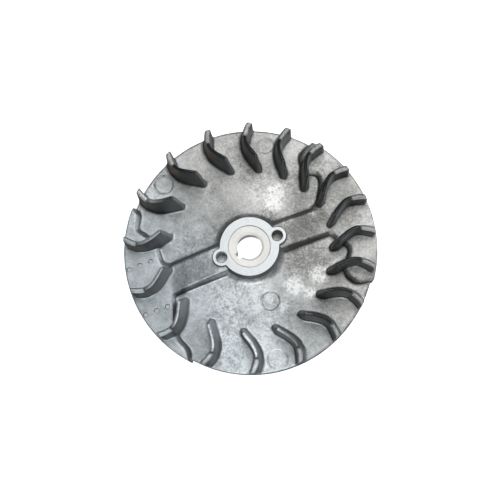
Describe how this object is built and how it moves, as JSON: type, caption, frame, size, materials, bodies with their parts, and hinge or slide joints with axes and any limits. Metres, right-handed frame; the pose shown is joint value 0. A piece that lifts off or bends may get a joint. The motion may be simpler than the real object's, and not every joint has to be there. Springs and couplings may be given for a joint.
{
  "type": "magneto fan flywheel",
  "caption": "Cast aluminium engine flywheel with curved fan blades, keyed steel hub insert, laminated pole shoes and a cast-in ignition magnet.",
  "frame": {"origin": "on the spin axis, in the plane of the rim's back face, at the centre of the bounding box's base", "axes": "+Z along the spin axis, from the engine side towards the fan blades; +X is a direction 21.3 degrees before the counterweight lobe's arm"},
  "size_m": [0.1778, 0.174, 0.0466],
  "materials": {
    "cast_aluminium": "as die cast, blasted, with a turned hub face",
    "hub_steel": "turned",
    "lamination_steel": "ground on the rim face",
    "magnet": "raw sintered",
    "pin_steel": "dull"
  },
  "bodies": {
    "root": {"flywheel_casting": "cast_aluminium", "hub_insert": "hub_steel", "pole_shoe_a_lamination_1": "lamination_steel", "pole_shoe_a_lamination_2": "lamination_steel", "pole_shoe_a_lamination_3": "lamination_steel", "pole_shoe_a_lamination_4": "lamination_steel", "pole_shoe_a_lamination_5": "lamination_steel", "pole_shoe_a_lamination_6": "lamination_steel", "pole_shoe_a_lamination_7": "lamination_steel", "pole_shoe_a_lamination_8": "lamination_steel", "pole_shoe_b_lamination_1": "lamination_steel", "pole_shoe_b_lamination_2": "lamination_steel", "pole_shoe_b_lamination_3": "lamination_steel", "pole_shoe_b_lamination_4": "lamination_steel", "pole_shoe_b_lamination_5": "lamination_steel", "pole_shoe_b_lamination_6": "lamination_steel", "pole_shoe_b_lamination_7": "lamination_steel", "pole_shoe_b_lamination_8": "lamination_steel", "ignition_magnet": "magnet", "pole_shoe_pin_a_1": "pin_steel", "pole_shoe_pin_a_2": "pin_steel", "pole_shoe_pin_a_3": "pin_steel", "pole_shoe_pin_b_1": "pin_steel", "pole_shoe_pin_b_2": "pin_steel", "pole_shoe_pin_b_3": "pin_steel"}
  },
  "joints": []
}
